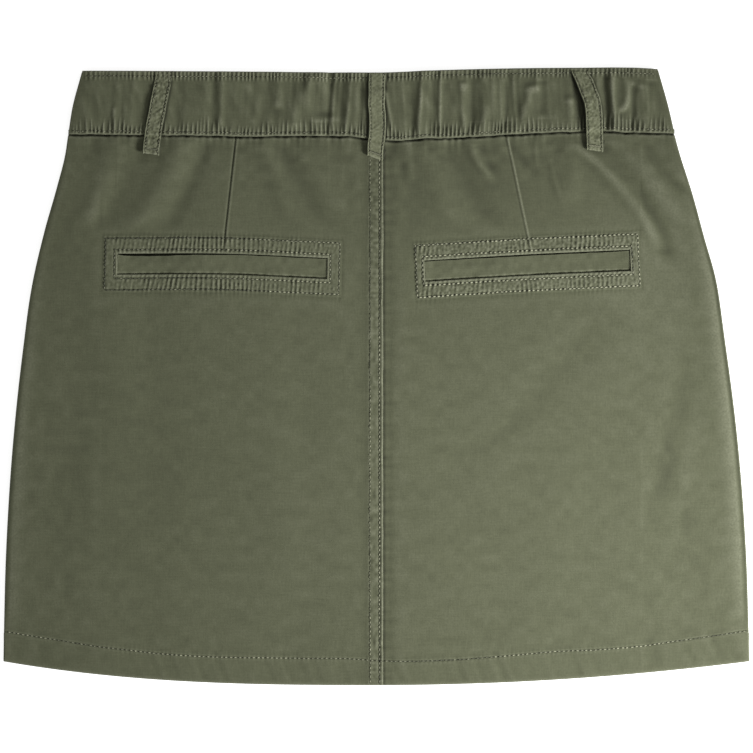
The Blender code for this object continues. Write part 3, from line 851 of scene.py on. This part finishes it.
def cotton(name, colour):
    """Sewing thread: plied, so finely banded along its length, and soft."""
    material = bpy.data.materials.new(name)
    material.use_nodes = True
    tree = material.node_tree
    surface = tree.nodes["Principled BSDF"]
    place = add_node(tree, "TexCoord").outputs["Object"]
    plies = add_node(tree, "TexNoise", {"Scale": 2600.0, "Detail": 2.0}, {"Vector": place})
    patches = add_node(tree, "TexNoise", {"Scale": 60.0, "Detail": 2.0}, {"Vector": place})
    fine, broad = plies.outputs["Fac"], patches.outputs["Fac"]
    shade = add_node(tree, "Math", {1: 0.5}, {0: fine}, operation="MULTIPLY").outputs[0]
    mixed = add_node(tree, "Math", {1: 0.6}, {0: broad, 2: shade}, operation="MULTIPLY_ADD").outputs[0]
    dark = tuple(channel * 0.62 for channel in colour[:3]) + (1.0,)
    light = tuple(channel * 1.35 for channel in colour[:3]) + (1.0,)
    dyed = add_node(tree, "Mix", {6: dark, 7: light}, {0: mixed}, data_type="RGBA").outputs[2]
    # Painted shadow: the thread blends to near black at its ends and on dimmer stitches.
    unshadowed_mix = add_node(tree, "Attribute", attribute_name="unshadowed").outputs["Fac"]
    seen = add_node(tree, "Mix", {6: HOLE_SHADOW}, {0: unshadowed_mix, 7: dyed}, data_type="RGBA")
    tree.links.new(seen.outputs[2], surface.inputs["Base Color"])
    bump = add_node(tree, "Bump", {"Strength": 0.4, "Distance": 0.0001}, {"Height": fine})
    tree.links.new(bump.outputs[0], surface.inputs["Normal"])
    surface.inputs["Roughness"].default_value = 0.75
    surface.inputs["Specular IOR Level"].default_value = 0.3
    return material


def thread_piece(name, rows, material):
    """All the stitches of some rows as one piece of thread work."""
    points = np.concatenate([row.reshape(len(row), -1, 4) for row in rows])
    rings = len(THREAD_RINGS)
    around = np.arange(THREAD_SIDES)
    quads = [
        np.stack([
            ring * THREAD_SIDES + around, ring * THREAD_SIDES + (around + 1) % THREAD_SIDES,
            (ring + 1) * THREAD_SIDES + (around + 1) % THREAD_SIDES, (ring + 1) * THREAD_SIDES + around,
        ], axis=-1)
        for ring in range(rings - 1)
    ]
    sides = np.concatenate(quads)[:, ::-1]
    starts = np.arange(len(points)) * rings * THREAD_SIDES
    faces = (starts[:, None, None] + sides[None]).reshape(-1, 4).tolist()
    faces += (starts[:, None] + around[None]).tolist()
    faces += (starts[:, None] + ((rings - 1) * THREAD_SIDES + around)[::-1][None]).tolist()
    mesh = bpy.data.meshes.new(name)
    mesh.from_pydata((points[..., :3].reshape(-1, 3) * MM).tolist(), [], faces)
    mesh.shade_smooth()
    mark_points(mesh, "unshadowed", points[..., 3].reshape(-1))
    return sew(linked(name, mesh), material)


def frame_line(sign, out):
    """The line round a pocket at one distance from its slit."""
    middle_x, middle_y, tilt, width, height = POCKETS[sign]
    c, s = math.cos(math.radians(tilt)), math.sin(math.radians(tilt))
    half_x, half_y = width / 2 + out / FRAME_SIDE[sign], height / 2 + out
    turns = ((-1, -1), (1, -1), (1, 1), (-1, 1), (-1, -1))
    corners = [(half_x * u, half_y * v) for u, v in turns]
    line = []
    for (u0, v0), (u1, v1) in zip(corners, corners[1:]):
        steps = np.linspace(0, 1, int(math.hypot(u1 - u0, v1 - v0) / 0.25), endpoint=False)
        line += [(u0 + (u1 - u0) * t, v0 + (v1 - v0) * t) for t in steps]
    u, v = np.array(line).T
    wander = 0.18 * uneven(u + 3 * v, 14, 101)
    u = u + wander * np.sign(u) * (np.abs(v) < half_y - 0.5)
    v = v + wander * np.sign(v) * (np.abs(v) > half_y - 0.5)
    v = v + pocket_bow(sign, u)
    x, y = middle_x + u * c - v * s, middle_y + u * s + v * c
    return np.stack([x, y, back_surface(sign, x, y)], axis=-1)


thread_work = {}
olive_thread = cotton("olive sewing thread", THREAD)
for sign, side in SIDES:
    rows = []
    for out, seed, at_ends in ((FRAME_INNER, 110, 0.3), (FRAME_OUTER, 114, 0.75)):
        line = frame_line(sign, out)
        above = pocket_place(sign, line[:, 0], line[:, 1])[3]
        # How far each pocket stitch stays out of painted shadow, varying across the pocket and less along the
        # frame's short ends.
        stitch_unshadowed = 0.2 + 0.6 * eased(line[:, 0], -125, -50) + 0.3 * eased(line[:, 0], 0, 60)
        stitch_unshadowed = stitch_unshadowed * (at_ends + (1 - at_ends) * eased(above, -2.0, 0.0))
        rows.append(stitches(line, seed + sign, radius={-1: 0.40, 1: 0.52}[sign], unshadowed=stitch_unshadowed))
    thread_work[sign] = [thread_piece("pocket_stitching_" + side, rows, olive_thread)]

centre_y = np.arange(HEM_Y + 1.0, WAIST_Y - 58.0, 0.25)
centre_rows = []
for row in STRIP_ROWS:
    x = row + 0.2 * uneven(centre_y, 11, 120 + int(row))
    line = np.stack([x, centre_y, back_surface(-1, x, centre_y)], axis=-1)
    centre_rows.append(stitches(line, 122 + int(row), radius=0.22 if row < 0 else 0.33, unshadowed=0.5))
thread_work[-1].append(thread_piece("centre_seam_stitching", centre_rows, olive_thread))

for sign, side, ends in ((-1, "left", (-244.0, SEAM_X)), (1, "right", (SEAM_X + 0.6, 244.0))):
    x = np.arange(*ends, 0.25)
    y = hem_y(x) + hem_width(x) + 0.3 * uneven(x, 24, 130)
    line = np.stack([x, y, back_surface(sign, x, y)], axis=-1)
    row = stitches(line, 132 + sign, radius=0.36)
    thread_work[sign].append(thread_piece("hem_stitching_" + side, [row], olive_thread))

# ----------------------------------------------------------
# BACK WAISTBAND
# A folded strip over flat elastic, which gathers it. One row of stitches runs just under the
# top fold and one just above the seam, and the cloth puckers at both.
# ----------------------------------------------------------

BAND_Z = 5.1
BAND_INNER_Z = 2.45
BAND_FOLD = 1.25
BAND_LIP = 0.55
BAND_MEET_Z = 2.35
TOP_ROW = 3.6
LOWER_ROW = 2.3
GATHER_FADE = 4.0

LOOP_WIDTH = 11.4
LOOPS = {
    # x, y, lift, turn
    "left": (
        (-139.8, 201.3, -1.6, 0), (-142.9, 184, 0.1, 0), (-146.8, 163, 0.2, 0), (-148.8, 147.4, 0, 0),
    ),
    "center": ((0.4, 200.2, -1.2, 0), (0, 184, 0.4, 0), (0.4, 163, 0.3, 2), (-1.1, 144.8, 0, 17)),
    "right": ((134.2, 201.4, -0.9, 0), (142, 181, 2.3, 0), (143.6, 162, 1.5, 0), (144, 149.6, 0, 11)),
}
GATHERS = (
    # top_x, top_down, mid_x, mid_down, foot_x, foot_down, height, width
    (-173.3, 26, -173.3, 32, -173, 38, 0.25, 1.6),
    (-150, 4, -153, 20, -156, 38, -0.30, 5),
    (-131, 6, -131.5, 20, -132, 37, -0.35, 3.5),
    (-102.3, 2, -102.5, 18, -103, 36, 0.45, 3),
    (-108, 4, -108, 18, -108, 36, -0.35, 3),
    (-64.7, 2, -65, 12, -65.5, 24, 0.40, 3),
    (-72, 6, -74, 20, -77, 36, -0.30, 3.5),
    (-41.9, 4, -49.8, 20, -55.1, 37, 0.70, 5.5),
    (-30, 1, -31, 14, -34, 30, -0.65, 8),
    (-27.4, 2, -28.4, 20, -29.6, 40, 0.35, 1.8),
    (-22.6, 4, -23.4, 20, -24.6, 38, -0.22, 1.8),
    (-16.6, 2, -18.2, 20, -20.4, 40, 0.35, 1.9),
    (-10, 4, -10.4, 20, -11, 38, -0.45, 2.2),
    (6, 15, 8, 26, 10.5, 39, 0.50, 1.8),
    (30.5, 2, 29, 20, 27.2, 42, 0.62, 2.2),
    (36.5, 4, 36.3, 20, 36, 40, -0.40, 2.6),
    (42.2, 2, 42, 20, 41.8, 42, 0.62, 1.8),
    (46.5, 2, 46.5, 20, 46.5, 38, -0.55, 4.6),
    (57, 10, 57.5, 24, 58, 40, 0.50, 2.6),
    (63, 6, 62.5, 20, 61.5, 38, -0.35, 3),
    (71.6, 4, 74.3, 22, 66.3, 42, 0.50, 4.5),
    (86.8, 2, 86, 18, 85, 36, -0.50, 2.6),
    (102, 12, 98, 26, 93.4, 40, 0.70, 4.5),
    (109.2, 8, 109.2, 18, 109, 28, -0.35, 3),
    (127, 20, 127, 30, 127, 40, 0.50, 3.5),
    (130.5, 3, 135, 20, 137.5, 42, -0.80, 4),
    (150.8, 4, 151.5, 18, 153, 36, -0.70, 2.6),
    (155.1, 2, 156, 18, 156.8, 40, 0.85, 2.6),
    (163.5, 4, 165.5, 12, 163, 26, 0.60, 3),
    (169.8, 12, 169.6, 22, 169.4, 36, -0.45, 2.2),
    (175, 10, 176.5, 22, 177, 38, 0.40, 3),
    (182, 8, 184, 20, 186, 34, -0.55, 4.5),
)


def loop_middle(side, y):
    return curve_through([(-row[1], row[0]) for row in LOOPS[side]], 1, -y)


def band_relief(x, y):
    """The band's own surface: gathers through its depth and fine puckers along both stitch rows."""
    below_top = top_y(x) - y
    above_seam = y - seam_y(x)
    right_side = np.maximum(bump_at(x - 60, 60), bump_at(x - 172, 24))
    elastic = 0.35 + 0.65 * np.maximum(bump_at(x + 34, 34), right_side)
    pressed = bump_at(x - loop_middle("left", y), 7.5)
    lean = x + 0.06 * above_seam * np.sign(x)
    gathered = 0.42 * uneven(lean, 3.6, 141) + 0.20 * uneven(lean, 2.2, 142) + 0.6 * uneven(lean, 8.0, 143)
    gathered = elastic * gathered * (0.7 + 0.5 * uneven_cloth(x, y, 13, 144))
    relief = 1.9 * crease_height(x, WAIST_Y - y, GATHERS, GATHER_FADE) + gathered
    relief = relief + (0.25 + 0.4 * elastic) * uneven_cloth(x + 0.25 * y, 0.4 * y, 6.5, 145)
    relief = relief + 0.14 * uneven_cloth(x + 0.1 * y, 0.45 * y, 3.6, 146)
    relief = relief * (1 - 0.85 * pressed) - 0.3 * pressed
    crimp = np.cos(2 * np.pi * x / 2.7 + 2.4 * uneven(x, 8, 147)) * (0.75 + 0.5 * uneven(x, 7, 148))
    top_zone = eased(below_top, 0.3, 1.4) * (1 - eased(below_top, TOP_ROW + 0.4, TOP_ROW + 4.0))
    relief = relief + 0.30 * crimp * top_zone - 0.15 * bump_at(below_top - TOP_ROW, 0.6)
    slant = x - 0.03 * above_seam * (1 + 3.0 * uneven(x, 15, 149))
    pucker = 1.6 * np.exp(1.2 * (np.cos(2 * np.pi * slant / 2.9 + 3.4 * uneven(x, 7, 150)) - 1)) - 0.6
    pucker = pucker * (0.95 + 0.6 * uneven(x, 5, 151) + 0.4 * bump_at(x - 172, 26))
    reach = 11.0 + 5.0 * uneven(x, 3.5, 152)
    low_zone = eased(above_seam, 0.4, 1.5) * (1 - eased(above_seam, 0.3 * reach, reach))
    relief = relief + 0.40 * pucker * low_zone * (1 - 0.8 * pressed)
    relief = relief - 0.14 * bump_at(above_seam - LOWER_ROW, 0.6)
    return relief + 0.14 * bump_at(above_seam - 1.0, 0.7)


def band_surface(x, y):
    down = WAIST_Y - y
    edge = np.maximum(np.where(x < 0, half_width(down, -1), half_width(down, 1)) - np.abs(x), 0)
    roll = 1 - np.exp(-edge / 5.0)
    return BAND_Z - 1.4 * (1 - roll) + band_relief(x, y) * roll


def band_points():
    """Rows run up the band: tucked lip, outer face, top fold and down the inner face."""
    outer = even_steps((BAND_LIP, 9.0, 34.5, BAND_DEPTH - BAND_FOLD), (26, 22, 18))
    face = BAND_DEPTH - BAND_FOLD - BAND_LIP
    profile = [("tuck", 3.0), ("tuck", 1.2)]
    profile += [("lip", angle) for angle in np.radians((-80, -50, -20, 10, 35, 60))]
    profile += [("face", up) for up in outer]
    profile += [("fold", angle) for angle in np.radians((70, 50, 30, 10, -10, -30, -50, -70, -90))]
    profile += [("back", up) for up in np.linspace(BAND_DEPTH - 2.5, 1.0, 9)]
    rows = []
    for kind, value in profile:
        up = {"tuck": 0.0, "lip": 0.0, "fold": BAND_DEPTH}.get(kind, value)
        x, shift, drop, meet = row_across(BAND_DEPTH - up, 0.0, 960)
        foot, head = seam_y(x), top_y(x) - BAND_FOLD
        if kind == "tuck":
            y, z = foot + value, panels_surface(x, foot) + 0.12
        elif kind == "lip":
            y = foot + BAND_LIP * (1 - math.cos(value))
            z = band_surface(x, foot + BAND_LIP) - BAND_LIP * (1 - math.sin(value))
        elif kind == "face":
            y = foot + BAND_LIP + (head - foot - BAND_LIP) * (value - BAND_LIP) / face
            z = band_surface(x, y)
        else:
            crest = band_surface(x, head)
            radius = (crest - BAND_INNER_Z) / 2
            if kind == "fold":
                y = head + BAND_FOLD * math.cos(value)
                z = crest - radius * (1 - math.sin(value))
            else:
                y = foot + (head - foot) * value / (BAND_DEPTH - BAND_FOLD)
                z = np.full_like(x, BAND_INNER_Z)
        z = z - drop * (z - BAND_INNER_Z) / (BAND_Z - BAND_INNER_Z)
        z = z + (BAND_MEET_Z - z) * meet
        rows.append(np.stack([x + shift, y, z], axis=-1))
    return np.array(rows)


band_grid = band_points()
above = band_grid[..., 1] - seam_y(band_grid[..., 0])
# Colour from the relief: raised cloth lighter, partly washed-out dye and partly painted highlight; hollows
# darkened as painted shade, here at half strength.
rubbed_and_painted_shading = relief_wear_and_shade(band_grid, 5.5, 0.0)
rubbed_and_painted_shading = rubbed_and_painted_shading * np.where(rubbed_and_painted_shading < 0, 0.5, 1.0)
# Painted highlight along the band's lower lip and on the puckers above it.
rubbed_and_painted_shading = rubbed_and_painted_shading + 0.16 * bump_at(above - 1.0, 1.0) + 0.10 * bump_at(above - 4.5, 3.5)
# Painted shade on the band beside each loop, then broad painted shade left of the right loop.
for side in LOOPS:
    aside = band_grid[..., 0] - loop_middle(side, band_grid[..., 1])
    rubbed_and_painted_shading = rubbed_and_painted_shading - 0.8 * bump_at(np.abs(aside) - LOOP_WIDTH / 2 - 0.3, 1.0)
rubbed_and_painted_shading = rubbed_and_painted_shading - 0.5 * bump_at(aside + LOOP_WIDTH / 2 + 3.4, 3.2)
band = cloth_mesh("back_waistband", band_grid, rubbed_and_painted_shading)
sew(band, twill("olive twill, back band", 1.0), ["waistband_back"])

top_x = np.arange(-192.0, 184.0, 0.25)
low_x = np.arange(-201.0, 194.5, 0.25)
band_rows = []
for x, y, seed in (
    (top_x, top_y(top_x) - TOP_ROW + 0.2 * uneven(top_x, 16, 160), 161),
    (low_x, seam_y(low_x) + LOWER_ROW + 0.25 * uneven(low_x, 16, 162), 163),
):
    line = np.stack([x, y, band_surface(x, y)], axis=-1)
    band_rows.append(stitches(line, seed, pitch=2.8, length=2.6, radius=0.3, unshadowed=0.7))
band_stitching = thread_piece("waistband_stitching", band_rows, olive_thread)

# ----------------------------------------------------------
# BELT LOOPS
# Three narrow strips, folded in three and stitched along both edges. Each is caught in the
# band's top fold, crosses the band, and has its foot turned under and tacked to the panel.
# ----------------------------------------------------------

LOOP = 0.8
LOOP_TURNED = 7.0
LOOP_ROW = 4.2
LOOP_COLUMNS = 30
LOOP_STEP = 0.4
LOOP_TONE = {"left": 1.16, "center": 1.40, "right": 1.36}
LOOP_CREPE = {"left": 1.0, "center": 0.45, "right": 0.9}


def cloth_under(x, y):
    """The highest cloth across the width of a loop."""
    found = np.zeros_like(x)
    for aside in np.linspace(-LOOP_WIDTH / 2, LOOP_WIDTH / 2, 7):
        for along in (-0.8, 0.0, 0.8):
            at_x, at_y = x + aside, y + along
            on_band = band_surface(at_x, np.minimum(at_y, top_y(at_x) - BAND_FOLD))
            cloth = np.where(at_y > seam_y(at_x) - GAP, on_band, panels_surface(at_x, at_y))
            found = np.maximum(found, cloth)
    return found


def smoothed(values, times):
    for _ in range(times):
        middle = (values[:-2] + 2 * values[1:-1] + values[2:]) / 4
        values = np.concatenate([values[:1], middle, values[-1:]])
    return values


def loop_run(side):
    """Middle line of a loop, with its heading and how far it has turned over, down to its cut end."""
    table = [(-y, x, lift, turn) for x, y, lift, turn in LOOPS[side]]
    head_y, foot_y = -table[0][0], -table[-1][0]
    y = np.arange(head_y, foot_y, -LOOP_STEP)
    x = curve_through(table, 1, -y)
    heading = np.arctan(np.gradient(x, -y)) * eased(head_y - y, 0.0, 12.0)
    heading = heading - np.radians(curve_through(table, 3, -y))
    rest = np.maximum(smoothed(cloth_under(x, y), 6), 0) + 0.08 + LOOP / 2
    base = cloth_under(x[-1:], np.array([foot_y]))[0] + 0.15 + LOOP / 2
    double = base + LOOP
    z = np.maximum(rest + curve_through(table, 2, -y), double * (y < foot_y + LOOP_TURNED + 2))
    z = smoothed(z, 14)
    radius = (z[-1] - base) / 2
    line = [(x[k], y[k], z[k], heading[k], 0.0) for k in range(len(y))]
    over = heading[-1]
    for angle in np.radians((20, 45, 70, 90, 110, 135, 160, 180)):
        out = radius * math.sin(angle)
        height = z[-1] - radius * (1 - math.cos(angle))
        line.append((x[-1] + out * math.sin(over), foot_y - out * math.cos(over), height, over, angle))
    for back in np.linspace(1, LOOP_TURNED, 8):
        line.append((x[-1] - back * math.sin(over), foot_y + back * math.cos(over), base, over, math.pi))
    return np.array(line), len(y)


def loop_section(run, seed, crepe):
    """Across a loop, from its left edge over the top, round the right edge and back under."""
    half, round_edge = LOOP_WIDTH / 2, LOOP / 2
    inner = half - round_edge
    across = np.linspace(-inner, inner, LOOP_COLUMNS)
    arc = np.radians(np.linspace(60, -60, 5))
    offsets = [(v, round_edge, 1.0) for v in across]
    offsets += [(inner + round_edge * math.cos(a), round_edge * math.sin(a), 0.0) for a in arc]
    offsets += [(v, -round_edge, 0.0) for v in np.linspace(inner, -inner, 10)]
    offsets += [(-inner - round_edge * math.cos(a), round_edge * math.sin(a), 0.0) for a in arc[::-1]]
    along = np.arange(len(run)) * LOOP_STEP
    v, w, top = np.array(offsets).T
    v, s = np.meshgrid(v, along)
    relief = -0.26 * bump_at(np.abs(v) - LOOP_ROW, 0.5) + 0.24 * bump_at(np.abs(v) - 5.0, 0.5)
    relief = relief - 0.10 * bump_at(v, 2.4)
    ripple = np.cos(2 * np.pi * (s + 0.8 * v) / 3.3 + 2.5 * uneven(s, 6, seed))
    relief = relief + 0.05 * ripple * (0.5 + 0.5 * uneven(s, 5, seed + 1))
    relief = relief + 0.28 * crepe * uneven_cloth(s, v, 2.4, seed + 2)
    relief = relief + 0.18 * crepe * uneven_cloth(s, v, 1.1, seed + 4)
    waver = 0.28 * uneven(s, 7, seed + 3)
    return v + waver, w + relief * top


def loop_points(side, seed):
    run, straight = loop_run(side)
    v, w = loop_section(run, seed, LOOP_CREPE[side])
    x, y, z, heading, angle = run.T[:, :, None]
    push = np.sin(angle) * w
    out_x = x + v * np.cos(heading) + push * np.sin(heading)
    out_y = y + v * np.sin(heading) - push * np.cos(heading)
    return np.stack([out_x, out_y, z + np.cos(angle) * w], axis=-1), run[:straight]


def loop_line(run, across, seed):
    """A line along a loop's upper face, at one distance from its middle."""
    x, y, z, heading, _ = run.T
    aside = across + 0.2 * uneven(np.arange(len(x)) * LOOP_STEP, 6, seed)
    x, y = x + aside * np.cos(heading), y + aside * np.sin(heading)
    return np.stack([x, y, z + LOOP / 2 - 0.05], axis=-1)


for number, side in enumerate(LOOPS):
    seed = 170 + 10 * number
    grid, run = loop_points(side, seed)
    rubbed_and_painted_shading = relief_wear_and_shade(grid, 4.5, 0.22)
    # Painted shade over the loop's rounded edges and underside.
    rubbed_and_painted_shading[:, LOOP_COLUMNS:] = -1.0
    loop = cloth_mesh("belt_loop_" + side, grid[::-1], rubbed_and_painted_shading[::-1], around=True)
    sew(loop, twill("olive twill, loop " + side, LOOP_TONE[side]), ["loop_" + side])
    rows = [
        stitches(loop_line(run, across, seed + 5), seed + 6 + k, pitch=2.4, length=2.25, radius=0.22)
        for k, across in enumerate((-LOOP_ROW, LOOP_ROW))
    ]
    foot = run[-1 - int(2.6 / LOOP_STEP)]
    for step in np.linspace(-3.6, 3.6, 11):
        x = foot[0] + step * math.cos(foot[3]) + np.linspace(-0.9, 0.9, 7) * math.sin(foot[3])
        y = foot[1] + step * math.sin(foot[3]) + np.linspace(0.9, -0.9, 7)
        line = np.stack([x, y, np.full(7, foot[2] + LOOP / 2 - 0.02)], axis=-1)
        rows.append(stitches(line, seed + 8, pitch=1.9, length=1.8, radius=0.2, skew=0.3, unshadowed=0.9))
    tack = thread_piece("loop_stitching_" + side, rows, olive_thread)

# ----------------------------------------------------------
# STUDIO
# A plain white table that glows a little, one near soft light at the lower right, and a camera
# that looks straight down.
# ----------------------------------------------------------

table_mesh = bpy.data.meshes.new("table")
table_corners = [(x, y, -0.0004) for x, y in ((-3, -3), (3, -3), (3, 3), (-3, 3))]
table_mesh.from_pydata(table_corners, [], [(0, 1, 2, 3)])
table = linked("table", table_mesh)
table_paint = bpy.data.materials.new("white table")
table_paint.use_nodes = True
white = table_paint.node_tree.nodes["Principled BSDF"]
white.inputs["Base Color"].default_value = (0.86, 0.86, 0.86, 1)
white.inputs["Roughness"].default_value = 0.9
white.inputs["Emission Color"].default_value = (1, 1, 1, 1)
white.inputs["Emission Strength"].default_value = 0.72
table_mesh.materials.append(table_paint)

key = bpy.data.lights.new("key", "SPOT")
key.energy = 64.0
key.spot_size = 1.36
key.spot_blend = 1.0
key.shadow_soft_size = 0.16
key_lamp = linked("key", key)
key_lamp.visible_camera = False
key_lamp.location = (0.67, -0.27, 0.42)
aim = linked("aim", None)
aim.location = (-0.30, 0.01, 0.0)
towards = key_lamp.constraints.new("TRACK_TO")
towards.target = aim
towards.track_axis = "TRACK_NEGATIVE_Z"
towards.up_axis = "UP_Y"

sky = bpy.data.worlds.new("studio")
sky.use_nodes = True
sky.node_tree.nodes["Background"].inputs["Color"].default_value = (1, 1, 1, 1)
sky.node_tree.nodes["Background"].inputs["Strength"].default_value = 0.38
bpy.context.scene.world = sky

FRAME_ACROSS = 0.497
CAMERA_HEIGHT = 1.6
camera = bpy.data.cameras.new("camera")
camera.sensor_width = 36.0
camera.lens = 36.0 * (CAMERA_HEIGHT - BACK_Z * MM) / FRAME_ACROSS
camera_stand = linked("camera", camera)
camera_stand.location = (0, 0, CAMERA_HEIGHT)
bpy.context.scene.camera = camera_stand
bpy.context.scene.view_settings.view_transform = "Standard"
